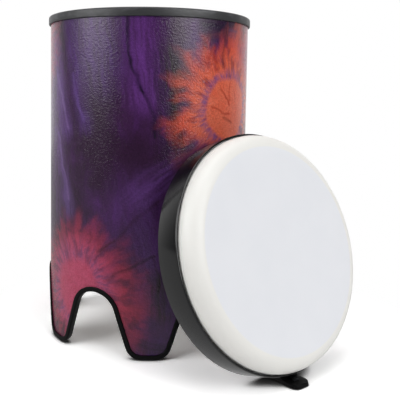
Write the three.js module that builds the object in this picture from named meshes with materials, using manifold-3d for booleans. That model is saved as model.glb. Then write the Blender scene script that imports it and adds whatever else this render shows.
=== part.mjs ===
// A floor-standing hand drum on six feet, with its head taken off and leaning on the shell.
// Millimetres, +Z up. The drum stands on z = 0 with one foot towards -Y, and the origin is the
// middle of the floor under the drum and its head together.

import * as THREE from 'three';
import { mergeVertices } from 'three/addons/utils/BufferGeometryUtils.js';
import Module from 'manifold-3d';

const wasm = await Module();
wasm.setup();

// Driving dimensions of the shell
const SHELL_RADIUS = 165; // outside of the printed wrap
const SHELL_WALL = 6.5; // rolled fibre tube
const WRAP_THICKNESS = 0.8; // printed cloth laminate
const DRUM_HEIGHT = 520; // floor to the top of the rim trim

// Driving dimensions of the feet
const FOOT_COUNT = 6;
const FOOT_FLAT = 21.5; // width that stands on the floor, along the edging's outside
const FOOT_CORNER = 24; // radius from that flat up to the flank
const FLANK_SLOPE = THREE.MathUtils.degToRad(18); // lean of an arch's sides from upright
const ARCH_HEIGHT = 97; // floor to the edging at an arch's crown

// Driving dimensions of the push-on trims
const TRIM_WEB = 3; // across the edge that it covers
const RIM_LEG = 13; // height of the rim trim's sides
const RIM_WALL = 3;
const RIM_ROUND = 3.2; // outer top corner of the rim trim
const EDGING_LEG = 7.5; // width of the foot edging's sides
const EDGING_WALL = 2.2; // also the rim trim's inner side

// Driving dimensions of the head
const HOOP_WALL = 3;
const HOOP_UPSTAND = 12; // hoop wall above its shelf
const HOOP_ROUND = 1.2; // outer front corner of the hoop
const SHELF_WIDTH = 13;
const SHELF_THICKNESS = 6.5;
const GASKET_WIDTH = 8;
const GASKET_THICKNESS = 1.8;
const FLESH_HEIGHT = 8;
const FLESH_WALL = 0.8; // outer side of the flesh hoop's channel
const FLESH_DEPTH = 2.3; // inner side of that channel
const FLESH_FLOOR = 1.7;
const FILM_THICKNESS = 1;
const FILM_GROOVE = 1.4; // dark gap between the film and the hoop
const COLLAR_HEIGHT = 26.2; // film above the hoop's front edge
const COLLAR_ROUND = 22; // outer radius of the film's shoulder
const BEARING_LIP = 1; // flat at the bearing ring's inner top edge

// Driving dimensions of what holds the head on: one sprung lever and fixed catches in the skirt
const CATCH_COUNT = 2;
const CATCH_WIDTH = 24;
const CATCH_BITE = 1.5; // catch under the rim trim, which the skirt springs over
const LATCH_ANGLE = THREE.MathUtils.degToRad(-92); // round the head's axis, towards the floor
const LATCH_WIDTH = 32;
const LATCH_THICKNESS = 4.7; // finger plate
const LATCH_SPLAY = THREE.MathUtils.degToRad(17.7); // outer face from the hoop's side
const LATCH_REACH = 14; // finger plate past the hoop's front edge
const LATCH_CORNER = 9; // rounded corners of the finger plate
const LATCH_INSET = 0.8; // outer face below the hoop's skin at the skirt's edge
const HUB_RADIUS = 3.4;
const HOOK_THICKNESS = 4;
const HOOK_BITE = 2.5; // hook under the rim trim
const HOOK_NOSE = 1.4; // blunt tip of the hook
const SKIRT_MARGIN = 1; // skirt's edge to the hook
const PIN_RADIUS = 1.25;
const PIN_END = 4; // pin held in the hoop at each side of the lever's window
const SPRING_WIDTH = 10;
const SPRING_THICKNESS = 0.8;
const SPRING_TANG = 1.6; // spring's root in the hoop's wall
const SPRING_RISE = 10.5; // root to the free end, along the head's axis

// How the head leans: it stands on the skirt's edge and the lever, against the shell
const HEAD_TURN = THREE.MathUtils.degToRad(36.1); // playing face from -Y towards +X
const HEAD_BEARING = THREE.MathUtils.degToRad(43.2); // head's place round the shell
const LEVER_LIFT = THREE.MathUtils.degToRad(0.5); // lever's face clear of the floor

// Clearances
const GLUE_LINE = 0.2;
const SEAT_GAP = 0.3;
const SKIRT_PLAY = 0.7; // hoop's skirt round the rim trim
const HOOK_PLAY = 0.5; // hook below the rim trim
const PIN_PLAY = 0.25;
const WINDOW_PLAY = 1; // lever in its window
const LEAN_GAP = 0.4;

// Facets
const TURN_SEGMENTS = 48;
const ARC_STEPS = 4; // an arc has twice as many sides
const SMALL_ARC_STEPS = 1; // the same for an edge's small rounding
const PIN_SIDES = 12;
const OVERSHOOT = 5; // cutters past the faces that they cut

// Sizes that follow from those
const shellOuter = SHELL_RADIUS - WRAP_THICKNESS - GLUE_LINE;
const shellInner = shellOuter - SHELL_WALL;
const trimInner = shellInner - SEAT_GAP - EDGING_WALL;
const rimRadius = SHELL_RADIUS + SEAT_GAP + RIM_WALL;
const edgingRadius = SHELL_RADIUS + SEAT_GAP + EDGING_WALL;
const footPitch = (2 * Math.PI) / FOOT_COUNT;
const archMouth = edgingRadius * Math.sin(footPitch / 2 - Math.asin(FOOT_FLAT / 2 / edgingRadius));

const skirtInner = rimRadius + SKIRT_PLAY;
const hoopRadius = skirtInner + HOOP_WALL;
const hookTop = SKIRT_MARGIN + HOOK_THICKNESS;
const gasketBottom = hookTop + HOOK_PLAY + RIM_LEG;
const shelfBottom = gasketBottom + GASKET_THICKNESS + GLUE_LINE;
const shelfTop = shelfBottom + SHELF_THICKNESS;
const hoopDepth = shelfTop + HOOP_UPSTAND;
const filmRadius = skirtInner - FILM_GROOVE;
const filmTop = hoopDepth + COLLAR_HEIGHT;
const shoulderRadius = filmRadius - COLLAR_ROUND;
const shoulderHeight = filmTop - COLLAR_ROUND;
const fleshBottom = shelfTop + SEAT_GAP;
const fleshTop = fleshBottom + FLESH_HEIGHT;
const filmBottom = fleshBottom + FLESH_FLOOR + SEAT_GAP;
const fleshOuter = filmRadius + SEAT_GAP + FLESH_WALL;
const fleshInner = filmRadius - FILM_THICKNESS - SEAT_GAP - FLESH_DEPTH;

const pivotHeight = (shelfBottom + shelfTop) / 2;
const armInner = rimRadius + SKIRT_PLAY - SEAT_GAP / 3;
const pivotRadius = armInner - SEAT_GAP / 3;
const windowWidth = LATCH_WIDTH + 2 * WINDOW_PLAY;
const windowTop = pivotHeight + 2 * HUB_RADIUS;
const springHeight = windowTop + 2 * SPRING_THICKNESS + SEAT_GAP;
const headTilt = LATCH_SPLAY + LEVER_LIFT;

// Weld a closed geometry's corners, drop the empty triangles on a turning axis, make it a solid
function solidOf(geometry) {
  geometry.deleteAttribute('normal');
  geometry.deleteAttribute('uv');
  const welded = mergeVertices(geometry);
  const corners = welded.index.array;
  const triangles = [];
  for (let i = 0; i < corners.length; i += 3) {
    const [a, b, c] = corners.slice(i, i + 3);
    if (a !== b && b !== c && c !== a) triangles.push(a, b, c);
  }
  const vertProperties = welded.attributes.position.array;
  const triVerts = Uint32Array.from(triangles);
  return new wasm.Manifold(new wasm.Mesh({ numProp: 3, vertProperties, triVerts }));
}

// A named mesh of a solid, in its own material
function meshOf(name, solid, finish) {
  const { vertProperties, triVerts } = solid.getMesh();
  const geometry = new THREE.BufferGeometry();
  geometry.setAttribute('position', new THREE.BufferAttribute(vertProperties, 3));
  geometry.setIndex(new THREE.BufferAttribute(triVerts, 1));
  const material = new THREE.MeshStandardMaterial({ flatShading: true, ...finish });
  const mesh = new THREE.Mesh(geometry, material);
  mesh.name = name;
  return mesh;
}

// Turn a closed outline, x from the axis and y along it, about Z
function turned(outline, arcSteps = ARC_STEPS) {
  const points = outline.getPoints(arcSteps);
  if (THREE.ShapeUtils.isClockWise(points)) points.reverse();
  points.push(points[0].clone());
  return solidOf(new THREE.LatheGeometry(points, TURN_SEGMENTS).rotateX(Math.PI / 2));
}

function extruded(outline, depth) {
  return new THREE.ExtrudeGeometry(outline, { depth, bevelEnabled: false, curveSegments: ARC_STEPS });
}

function polygon(...corners) {
  return new THREE.Shape(corners.map(([x, y]) => new THREE.Vector2(x, y)));
}

function rectangle(left, bottom, right, top) {
  return polygon([left, bottom], [right, bottom], [right, top], [left, top]);
}

// The opening between two feet, grown into the wall by inset: a round crown, straight flanks
// and the feet's round corners, each tangent to the next
function archOutline(inset) {
  const lean = Math.sin(FLANK_SLOPE);
  const spread = archMouth * Math.cos(FLANK_SLOPE) - (ARCH_HEIGHT - FOOT_CORNER) * lean - FOOT_CORNER;
  const crown = spread / (1 - lean);
  const corner = FOOT_CORNER - inset;
  const outline = new THREE.Shape();
  outline.moveTo(archMouth, -OVERSHOOT);
  outline.lineTo(archMouth, inset);
  outline.absarc(archMouth, FOOT_CORNER, corner, -Math.PI / 2, -Math.PI + FLANK_SLOPE, true);
  outline.absarc(0, ARCH_HEIGHT - crown, crown + inset, FLANK_SLOPE, Math.PI - FLANK_SLOPE, false);
  outline.absarc(-archMouth, FOOT_CORNER, corner, -FLANK_SLOPE, -Math.PI / 2, true);
  outline.lineTo(-archMouth, -OVERSHOOT);
  return outline;
}

// A tube cut to the feet's outline, everywhere at the distance inset from the drum's lower edge
function footedTube(inner, outer, inset, top) {
  let tube = turned(rectangle(inner, inset, outer, top));
  for (let foot = 0; foot < FOOT_COUNT; foot += 1) {
    const opening = extruded(archOutline(inset), outer + OVERSHOOT);
    opening.rotateX(Math.PI / 2);
    opening.rotateZ((foot + 0.5) * footPitch);
    tube = tube.subtract(solidOf(opening));
  }
  return tube;
}

function shell() {
  return footedTube(shellInner, shellOuter, TRIM_WEB + SEAT_GAP, DRUM_HEIGHT - TRIM_WEB - SEAT_GAP);
}

function shellWrap() {
  const inner = SHELL_RADIUS - WRAP_THICKNESS;
  return footedTube(inner, SHELL_RADIUS, TRIM_WEB + SEAT_GAP, DRUM_HEIGHT - TRIM_WEB - SEAT_GAP);
}

// A channel pressed over the top edge, whose outer side stands proud as a lip
function rimTrim() {
  const bottom = DRUM_HEIGHT - RIM_LEG;
  const web = DRUM_HEIGHT - TRIM_WEB;
  const lipRound = RIM_WALL / 3;
  const innerRound = EDGING_WALL / 2;
  const outline = new THREE.Shape();
  outline.moveTo(SHELL_RADIUS + SEAT_GAP, bottom);
  outline.absarc(rimRadius - lipRound, bottom + lipRound, lipRound, -Math.PI / 2, 0, false);
  outline.absarc(rimRadius - RIM_ROUND, DRUM_HEIGHT - RIM_ROUND, RIM_ROUND, 0, Math.PI / 2, false);
  const innerTop = DRUM_HEIGHT - innerRound;
  outline.absarc(trimInner + innerRound, innerTop, innerRound, Math.PI / 2, Math.PI, false);
  outline.lineTo(trimInner, bottom);
  outline.lineTo(shellInner - SEAT_GAP, bottom);
  outline.lineTo(shellInner - SEAT_GAP, web);
  outline.lineTo(SHELL_RADIUS + SEAT_GAP, web);
  return turned(outline, SMALL_ARC_STEPS);
}

// A channel pressed over the whole lower edge, up one side of each arch and down the other
function footEdging() {
  const top = ARCH_HEIGHT + EDGING_LEG + OVERSHOOT;
  const above = footedTube(trimInner - OVERSHOOT, edgingRadius + OVERSHOOT, EDGING_LEG, top + OVERSHOOT);
  const groove = footedTube(shellInner - SEAT_GAP, SHELL_RADIUS + SEAT_GAP, TRIM_WEB, top + OVERSHOOT);
  return footedTube(trimInner, edgingRadius, 0, top).subtract(above).subtract(groove);
}

// A tangent cylinder on the lever's pivot, in the head's frame before the lever's turn
function pivotCylinder(radius, halfLength) {
  const geometry = new THREE.CylinderGeometry(radius, radius, 2 * halfLength, PIN_SIDES);
  return geometry.translate(pivotRadius, 0, pivotHeight);
}

// A block given by its radial, tangent and axial middle and size
function block(middle, size) {
  return new THREE.BoxGeometry(...size).translate(...middle);
}

// A fixed catch on the inside of the skirt, with a sloped nose that rides over the rim trim
function skirtCatch(angle) {
  const tip = rimRadius - CATCH_BITE;
  const root = skirtInner + HOOP_WALL / 2;
  const ring = turned(polygon(
    [root, SKIRT_MARGIN], [root, hookTop], [tip, hookTop], [tip, hookTop - HOOK_NOSE],
    [skirtInner, SKIRT_MARGIN],
  ));
  const width = block([hoopRadius, 0, hoopDepth / 2], [hoopRadius, CATCH_WIDTH, hoopDepth]);
  return ring.intersect(solidOf(width.rotateZ(angle)));
}

// The moulded black hoop: a skirt over the rim trim, a shelf that seats on it, fixed catches, and
// at the lever a window, the pin's blind holes and a slit for the spring's root
function headHoop() {
  const shelfInner = skirtInner - SHELF_WIDTH;
  const outline = new THREE.Shape();
  outline.moveTo(skirtInner, 0);
  outline.lineTo(hoopRadius, 0);
  outline.absarc(hoopRadius - HOOP_ROUND, hoopDepth - HOOP_ROUND, HOOP_ROUND, 0, Math.PI / 2, false);
  outline.lineTo(skirtInner, hoopDepth);
  outline.lineTo(skirtInner, shelfTop);
  outline.lineTo(shelfInner, shelfTop);
  outline.lineTo(shelfInner, shelfBottom);
  outline.lineTo(skirtInner, shelfBottom);
  let hoop = turned(outline, SMALL_ARC_STEPS);
  for (let index = 1; index <= CATCH_COUNT; index += 1) {
    hoop = hoop.add(skirtCatch(LATCH_ANGLE + (index * 2 * Math.PI) / (CATCH_COUNT + 1)));
  }

  const windowInner = pivotRadius - HUB_RADIUS - SEAT_GAP;
  const windowDepth = hoopRadius + OVERSHOOT - windowInner;
  const windowHeight = windowTop + OVERSHOOT;
  const window = block(
    [windowInner + windowDepth / 2, 0, windowTop - windowHeight / 2],
    [windowDepth, windowWidth, windowHeight],
  );
  const pinHole = pivotCylinder(PIN_RADIUS + PIN_PLAY, windowWidth / 2 + PIN_END + SEAT_GAP);
  const slitDepth = SPRING_TANG + SEAT_GAP + OVERSHOOT;
  const slit = block(
    [hoopRadius + OVERSHOOT - slitDepth / 2, 0, springHeight],
    [slitDepth, SPRING_WIDTH + 2 * SEAT_GAP, SPRING_THICKNESS + 2 * SEAT_GAP],
  );
  for (const cutter of [window, pinHole, slit]) {
    hoop = hoop.subtract(solidOf(cutter.rotateZ(LATCH_ANGLE)));
  }
  return hoop;
}

// A flat rubber ring under the shelf
function seatGasket() {
  const outer = pivotRadius - HUB_RADIUS - SEAT_GAP;
  return turned(rectangle(outer - GASKET_WIDTH, gasketBottom, outer, gasketBottom + GASKET_THICKNESS));
}

// The ring that shapes the film's round shoulder and stands on the hoop's shelf
function bearingRing() {
  const gap = FILM_THICKNESS + SEAT_GAP;
  const foot = fleshInner - SEAT_GAP;
  const step = fleshTop + SEAT_GAP;
  const outline = new THREE.Shape();
  outline.moveTo(skirtInner - SHELF_WIDTH, fleshBottom);
  outline.lineTo(foot, fleshBottom);
  outline.lineTo(foot, step);
  outline.lineTo(filmRadius - gap, step);
  outline.absarc(shoulderRadius, shoulderHeight, COLLAR_ROUND - gap, 0, Math.PI / 2, false);
  outline.lineTo(shoulderRadius - BEARING_LIP, filmTop - gap - BEARING_LIP);
  return turned(outline);
}

// The channel that the film's edge is set in
function fleshHoop() {
  const slotInner = fleshInner + FLESH_DEPTH;
  const slotOuter = fleshOuter - FLESH_WALL;
  const slotFloor = fleshBottom + FLESH_FLOOR;
  return turned(polygon(
    [fleshInner, fleshBottom], [fleshOuter, fleshBottom], [fleshOuter, fleshTop], [slotOuter, fleshTop],
    [slotOuter, slotFloor], [slotInner, slotFloor], [slotInner, fleshTop], [fleshInner, fleshTop],
  ));
}

// The white film: a flat playing face, a round shoulder and a collar down into the flesh hoop
function headFilm() {
  const inner = COLLAR_ROUND - FILM_THICKNESS;
  const outline = new THREE.Shape();
  outline.moveTo(0, filmTop - FILM_THICKNESS);
  outline.absarc(shoulderRadius, shoulderHeight, inner, Math.PI / 2, 0, true);
  outline.lineTo(filmRadius - FILM_THICKNESS, filmBottom);
  outline.lineTo(filmRadius, filmBottom);
  outline.absarc(shoulderRadius, shoulderHeight, COLLAR_ROUND, 0, Math.PI / 2, false);
  outline.lineTo(0, filmTop);
  return turned(outline);
}

function leverOuterFace(height) {
  return hoopRadius - LATCH_INSET + height * Math.tan(LATCH_SPLAY);
}

function leverInnerFace(height) {
  return leverOuterFace(height) - LATCH_THICKNESS / Math.cos(LATCH_SPLAY);
}

// A rocking lever: pressing its finger plate towards the film swings its hook out from under the
// rim trim. It snaps onto its pin through the mouth in its hub. X is outwards and Z is the head's axis.
function latchLever() {
  const tip = hoopDepth + LATCH_REACH;
  const knee = windowTop + SPRING_THICKNESS;
  const hookTip = rimRadius - HOOK_BITE;
  const profile = new THREE.Shape();
  profile.moveTo(leverOuterFace(SKIRT_MARGIN), SKIRT_MARGIN);
  profile.lineTo(leverOuterFace(tip), tip);
  profile.lineTo(leverInnerFace(tip), tip);
  profile.lineTo(leverInnerFace(knee), knee);
  profile.absarc(pivotRadius, pivotHeight, HUB_RADIUS, Math.PI / 3, 1.5 * Math.PI, false);
  profile.lineTo(armInner, pivotHeight - HUB_RADIUS);
  profile.lineTo(armInner, hookTop);
  profile.lineTo(hookTip, hookTop);
  profile.lineTo(hookTip, hookTop - HOOK_NOSE);
  profile.lineTo(armInner, SKIRT_MARGIN);
  const side = extruded(profile, LATCH_WIDTH).translate(0, 0, -LATCH_WIDTH / 2);
  side.rotateX(Math.PI / 2);

  const half = LATCH_WIDTH / 2;
  const plan = new THREE.Shape();
  plan.moveTo(-half, -OVERSHOOT);
  plan.lineTo(half, -OVERSHOOT);
  plan.absarc(half - LATCH_CORNER, tip - LATCH_CORNER, LATCH_CORNER, 0, Math.PI / 2, false);
  plan.absarc(LATCH_CORNER - half, tip - LATCH_CORNER, LATCH_CORNER, Math.PI / 2, Math.PI, false);
  const blank = extruded(plan, leverOuterFace(tip) + OVERSHOOT);
  blank.rotateX(Math.PI / 2).rotateZ(Math.PI / 2);

  const bore = pivotCylinder(PIN_RADIUS + PIN_PLAY, LATCH_WIDTH);
  const mouthDepth = HUB_RADIUS + OVERSHOOT;
  const mouth = block(
    [pivotRadius - mouthDepth / 2, 0, pivotHeight],
    [mouthDepth, 2 * LATCH_WIDTH, 2 * PIN_RADIUS - PIN_PLAY],
  );
  return solidOf(side).intersect(solidOf(blank)).subtract(solidOf(bore)).subtract(solidOf(mouth));
}

function latchPin() {
  return solidOf(pivotCylinder(PIN_RADIUS, windowWidth / 2 + PIN_END));
}

// A bent steel leaf: its root sits in the hoop's slit and its blade holds the finger plate out
function latchSpring() {
  const half = SPRING_THICKNESS / 2;
  const root = hoopRadius - SPRING_TANG;
  const bend = hoopRadius + SPRING_THICKNESS;
  const end = springHeight + SPRING_RISE;
  const slant = SPRING_THICKNESS / Math.cos(LATCH_SPLAY);
  const free = leverInnerFace(end) - SEAT_GAP - slant;
  const profile = polygon(
    [root, springHeight - half], [bend + slant, springHeight - half], [free + slant, end],
    [free, end], [bend, springHeight + half], [root, springHeight + half],
  );
  const leaf = extruded(profile, SPRING_WIDTH).translate(0, 0, -SPRING_WIDTH / 2);
  return solidOf(leaf.rotateX(Math.PI / 2));
}

const drum = new THREE.Group();
drum.add(meshOf('shell', shell(), { color: 0x8a6f52, roughness: 0.8, metalness: 0 }));
drum.add(meshOf('shell_wrap', shellWrap(), { color: 0x4a2a63, roughness: 0.35, metalness: 0 }));
drum.add(meshOf('rim_trim', rimTrim(), { color: 0x2c2c2e, roughness: 0.45, metalness: 0 }));
drum.add(meshOf('foot_edging', footEdging(), { color: 0x1c1d1e, roughness: 0.5, metalness: 0 }));

const head = new THREE.Group();
head.add(meshOf('head_hoop', headHoop(), { color: 0x1a1a1b, roughness: 0.25, metalness: 0 }));
head.add(meshOf('seat_gasket', seatGasket(), { color: 0x3a3a3a, roughness: 0.9, metalness: 0 }));
head.add(meshOf('bearing_ring', bearingRing(), { color: 0x6b5a46, roughness: 0.8, metalness: 0 }));
head.add(meshOf('flesh_hoop', fleshHoop(), { color: 0xb8babd, roughness: 0.4, metalness: 1 }));
head.add(meshOf('head_film', headFilm(), { color: 0xe6e7ec, roughness: 0.45, metalness: 0 }));

const latch = new THREE.Group();
latch.rotation.z = LATCH_ANGLE;
latch.add(meshOf('latch_lever', latchLever(), { color: 0x151516, roughness: 0.4, metalness: 0 }));
latch.add(meshOf('latch_pin', latchPin(), { color: 0xa9abad, roughness: 0.35, metalness: 1 }));
latch.add(meshOf('latch_spring', latchSpring(), { color: 0x9a9c9f, roughness: 0.35, metalness: 1 }));
head.add(latch);

// The distance of the head from the shell's axis at which the skirt's edge just meets the shell
function leanDistance() {
  const reach = SHELL_RADIUS + LEAN_GAP;
  const away = new THREE.Vector3(Math.sin(HEAD_BEARING), -Math.cos(HEAD_BEARING), 0);
  let distance = 0;
  for (let step = 0; step < TURN_SEGMENTS; step += 1) {
    const angle = (step * 2 * Math.PI) / TURN_SEGMENTS;
    const edge = new THREE.Vector3(hoopRadius * Math.cos(angle), hoopRadius * Math.sin(angle), 0);
    edge.applyEuler(head.rotation).setZ(0);
    const along = edge.dot(away);
    const across = edge.lengthSq() - along * along;
    if (across < reach * reach) distance = Math.max(distance, Math.sqrt(reach * reach - across) - along);
  }
  return distance;
}

head.rotation.set(Math.PI / 2 - headTilt, 0, HEAD_TURN, 'ZYX');
const headDistance = leanDistance();
head.position.set(
  headDistance * Math.sin(HEAD_BEARING),
  -headDistance * Math.cos(HEAD_BEARING),
  hoopRadius * Math.cos(headTilt),
);

const tubano = new THREE.Group();
tubano.add(drum, head);
const extent = new THREE.Box3().setFromObject(tubano, true);
const middle = extent.getCenter(new THREE.Vector3());
tubano.position.set(-middle.x, -middle.y, -extent.min.z);

export default tubano;
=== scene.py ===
import bmesh
import bpy
from math import asin, atan2, cos, pi, radians, sin, tan
from mathutils import Matrix, Vector


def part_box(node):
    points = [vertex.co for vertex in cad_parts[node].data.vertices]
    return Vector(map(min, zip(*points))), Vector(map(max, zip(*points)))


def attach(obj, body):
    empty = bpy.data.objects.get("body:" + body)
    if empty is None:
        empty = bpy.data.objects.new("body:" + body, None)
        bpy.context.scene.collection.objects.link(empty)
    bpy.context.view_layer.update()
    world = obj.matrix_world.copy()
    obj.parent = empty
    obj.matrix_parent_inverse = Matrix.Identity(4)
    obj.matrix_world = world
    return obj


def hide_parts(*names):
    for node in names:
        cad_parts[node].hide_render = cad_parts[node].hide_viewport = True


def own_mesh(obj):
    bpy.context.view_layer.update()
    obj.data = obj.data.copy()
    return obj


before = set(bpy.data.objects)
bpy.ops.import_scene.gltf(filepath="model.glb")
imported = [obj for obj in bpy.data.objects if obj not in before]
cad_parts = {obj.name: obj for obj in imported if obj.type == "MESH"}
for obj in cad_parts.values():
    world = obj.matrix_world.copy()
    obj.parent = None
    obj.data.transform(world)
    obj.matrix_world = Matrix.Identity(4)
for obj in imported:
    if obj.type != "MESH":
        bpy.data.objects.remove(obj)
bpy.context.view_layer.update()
bpy.context.scene.view_settings.view_transform = "Standard"


# The shell: a tube rolled from resin-soaked fibre board, sawn at the bottom into six feet.
# Its inside is left bare, so it is brown and matt, with the flecks and the slanting laps of
# the rolled board.
MM = 0.001
low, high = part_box("shell_wrap")
shell_axis = Vector(((low.x + high.x) / 2, (low.y + high.y) / 2, 0))
drum_height = 520.0
shell_outside = 164.0
shell_inside = 157.5
trim_web = 3.0
trim_gap = 0.3
edge_inset = trim_web + trim_gap
shell_top = drum_height - edge_inset
foot_count = 6
foot_corner = 24
flank_slope = radians(18)
arch_height = 97
edging_radius = 167.5
foot_flat = 21.5
arch_mouth = edging_radius * sin(pi / foot_count - asin(foot_flat / 2 / edging_radius))


def linear(colour):
    """A colour such as C9604B, as linear red, green, blue and alpha."""
    parts = [int(colour[i:i + 2], 16) / 255 for i in (0, 2, 4)]
    return [c / 12.92 if c <= 0.04045 else ((c + 0.055) / 1.055) ** 2.4 for c in parts] + [1.0]


def feed(tree, node, feeds):
    """Link a node's inputs to other nodes or their sockets, or set their values."""
    for key, value in feeds.items():
        if isinstance(value, bpy.types.Node):
            value = value.outputs[0]
        if isinstance(value, bpy.types.NodeSocket):
            tree.links.new(value, node.inputs[key])
        else:
            node.inputs[key].default_value = value


def add(tree, kind, feeds, **settings):
    """Add a node with its settings, and feed its inputs."""
    made = tree.nodes.new(kind)
    for name, value in settings.items():
        setattr(made, name, value)
    feed(tree, made, feeds)
    return made


def new_finish(name):
    """A new material, with its node tree and its surface shader."""
    material = bpy.data.materials.new(name)
    material.use_nodes = True
    return material, material.node_tree, material.node_tree.nodes["Principled BSDF"]


def foot_line(radius, inset, corner_steps=8, flank_steps=6, crown_steps=28, foot_steps=5):
    """Angles and heights along the lower edge at one radius, over one arch and the next foot."""
    lean = sin(flank_slope)
    spread = arch_mouth * cos(flank_slope) - (arch_height - foot_corner) * lean - foot_corner
    crown = spread / (1 - lean)
    corner = foot_corner - inset
    quarter = pi / 2 - flank_slope
    crown_turn = pi - 2 * flank_slope
    up = [-pi / 2 + quarter * i / corner_steps for i in range(corner_steps + 1)]
    over = [pi - flank_slope - crown_turn * i / crown_steps for i in range(crown_steps + 1)]
    rise = [(-arch_mouth + corner * cos(a), foot_corner + corner * sin(a)) for a in up]
    arch = [((crown + inset) * cos(a), arch_height - crown + (crown + inset) * sin(a)) for a in over]
    flank = [
        tuple(p + (q - p) * i / flank_steps for p, q in zip(rise[-1], arch[0]))
        for i in range(1, flank_steps)
    ]
    left = rise + flank
    points = left + arch + [(-x, z) for x, z in reversed(left)]
    line = [(asin(x / radius), z) for x, z in points]
    first = asin(arch_mouth / radius)
    last = 2 * pi / foot_count - first
    line += [(first + (last - first) * i / foot_steps, inset) for i in range(1, foot_steps + 1)]
    return line


def round_shell(radius, angle, height):
    """A point round the shell's axis; angle 0 is the middle of the arch right of the front foot."""
    turn = angle + pi / foot_count
    return Vector((radius * sin(turn), -radius * cos(turn), height)) * MM


# One sixth of a footed piece, copied round the axis and welded
six_feet = bpy.data.node_groups.new("six_feet_round_the_axis", "GeometryNodeTree")
six_feet.interface.new_socket("One foot", in_out="INPUT", socket_type="NodeSocketGeometry")
feet_input = six_feet.interface.new_socket("Feet", in_out="INPUT", socket_type="NodeSocketInt")
weld_input = six_feet.interface.new_socket("Weld gap", in_out="INPUT", socket_type="NodeSocketFloat")
axis_input = six_feet.interface.new_socket("Axis", in_out="INPUT", socket_type="NodeSocketVector")
finish_input = six_feet.interface.new_socket("Finish", in_out="INPUT", socket_type="NodeSocketMaterial")
six_feet.interface.new_socket("Ring", in_out="OUTPUT", socket_type="NodeSocketGeometry")
given = add(six_feet, "NodeGroupInput", {})
spots = add(six_feet, "GeometryNodePoints", {"Count": given.outputs["Feet"]})
pitch = add(six_feet, "ShaderNodeMath", {0: 2 * pi, 1: given.outputs["Feet"]}, operation="DIVIDE")
index = add(six_feet, "GeometryNodeInputIndex", {})
turn = add(six_feet, "ShaderNodeMath", {0: index, 1: pitch}, operation="MULTIPLY")
turning = add(six_feet, "ShaderNodeCombineXYZ", {"Z": turn})
copies = add(six_feet, "GeometryNodeInstanceOnPoints", {
    "Points": spots, "Instance": given.outputs["One foot"], "Rotation": turning,
})
real = add(six_feet, "GeometryNodeRealizeInstances", {"Geometry": copies})
welded = add(six_feet, "GeometryNodeMergeByDistance", {
    "Geometry": real, "Distance": given.outputs["Weld gap"],
})
placed = add(six_feet, "GeometryNodeTransform", {
    "Geometry": welded, "Translation": given.outputs["Axis"],
})
dressed = add(six_feet, "GeometryNodeSetMaterial", {
    "Geometry": placed, "Material": given.outputs["Finish"],
})
add(six_feet, "NodeGroupOutput", {0: dressed})


def set_shading(mesh, crease=radians(35)):
    """Turn the faces outwards, and shade smooth up to an edge angle."""
    shape = bmesh.new()
    shape.from_mesh(mesh)
    bmesh.ops.remove_doubles(shape, verts=shape.verts, dist=1e-6)
    bmesh.ops.recalc_face_normals(shape, faces=shape.faces)
    shape.to_mesh(mesh)
    shape.free()
    mesh.shade_smooth()
    mesh.set_sharp_from_angle(angle=crease)


def footed_piece(name, sections, finish):
    """A piece that follows the feet, from its closed sections along one sixth of the edge."""
    size = len(sections[0])
    points = [round_shell(r, a, z) for section in sections for r, a, z in section]
    faces = []
    for i in range(len(sections) - 1):
        for k in range(size):
            n = (k + 1) % size
            faces.append((i * size + k, (i + 1) * size + k, (i + 1) * size + n, i * size + n))
    mesh = bpy.data.meshes.new(name)
    mesh.from_pydata(points, [], faces)
    piece = bpy.data.objects.new(name, mesh)
    bpy.context.scene.collection.objects.link(piece)
    repeat = piece.modifiers.new("feet", "NODES")
    repeat.node_group = six_feet
    repeat[feet_input.identifier] = foot_count
    repeat[weld_input.identifier] = 0.02 * MM
    repeat[axis_input.identifier] = list(shell_axis)
    repeat[finish_input.identifier] = finish
    whole = piece.evaluated_get(bpy.context.evaluated_depsgraph_get())
    piece.data = bpy.data.meshes.new_from_object(whole)
    piece.modifiers.clear()
    set_shading(piece.data)
    return piece


def tube_sections(inner, outer):
    """Sections of a tube wall that stands on the feet, with rows up to its top edge."""
    rows = 9
    sections = []
    for (out_angle, out_low), (in_angle, in_low) in zip(
        foot_line(outer, edge_inset), foot_line(inner, edge_inset)
    ):
        climb = [i / rows for i in range(rows + 1)]
        outside = [(outer, out_angle, out_low + (shell_top - out_low) * t) for t in climb]
        inside = [(inner, in_angle, in_low + (shell_top - in_low) * t) for t in reversed(climb)]
        sections.append(outside + inside)
    return sections


fibre, fibre_tree, fibre_shader = new_finish("rolled_fibre_board")
fibre_coords = add(fibre_tree, "ShaderNodeTexCoord", {})
# Fibre flecks about 4 mm across and the board's laps about 60 mm apart
flecks = add(fibre_tree, "ShaderNodeTexNoise", {
    "Vector": fibre_coords.outputs["Object"], "Scale": 1 / (4 * MM), "Detail": 5.0,
})
lap_turn = add(fibre_tree, "ShaderNodeMapping", {
    "Vector": fibre_coords.outputs["Object"], "Rotation": (radians(24), radians(17), 0),
})
laps = add(fibre_tree, "ShaderNodeTexWave", {
    "Vector": lap_turn, "Scale": pi / 10 / (60 * MM), "Distortion": 1.5, "Detail": 2.0,
}, bands_direction="Z", wave_profile="SAW")
fleck_level = add(fibre_tree, "ShaderNodeMapRange", {"Value": flecks, 1: 0.35, 2: 0.7})
brown = add(fibre_tree, "ShaderNodeMix", {
    0: fleck_level, 6: linear("5E4630"), 7: linear("86684A"),
}, data_type="RGBA")
lap_level = add(fibre_tree, "ShaderNodeMapRange", {"Value": laps, 1: 0.9, 2: 1.0, 3: 0.0, 4: 0.45})
lapped = add(fibre_tree, "ShaderNodeMix", {
    0: lap_level, 6: brown.outputs[2], 7: linear("3E2C1D"),
}, data_type="RGBA")
fibre_bump = add(fibre_tree, "ShaderNodeBump", {
    "Strength": 0.5, "Distance": 0.4 * MM, "Height": flecks,
})
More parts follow.
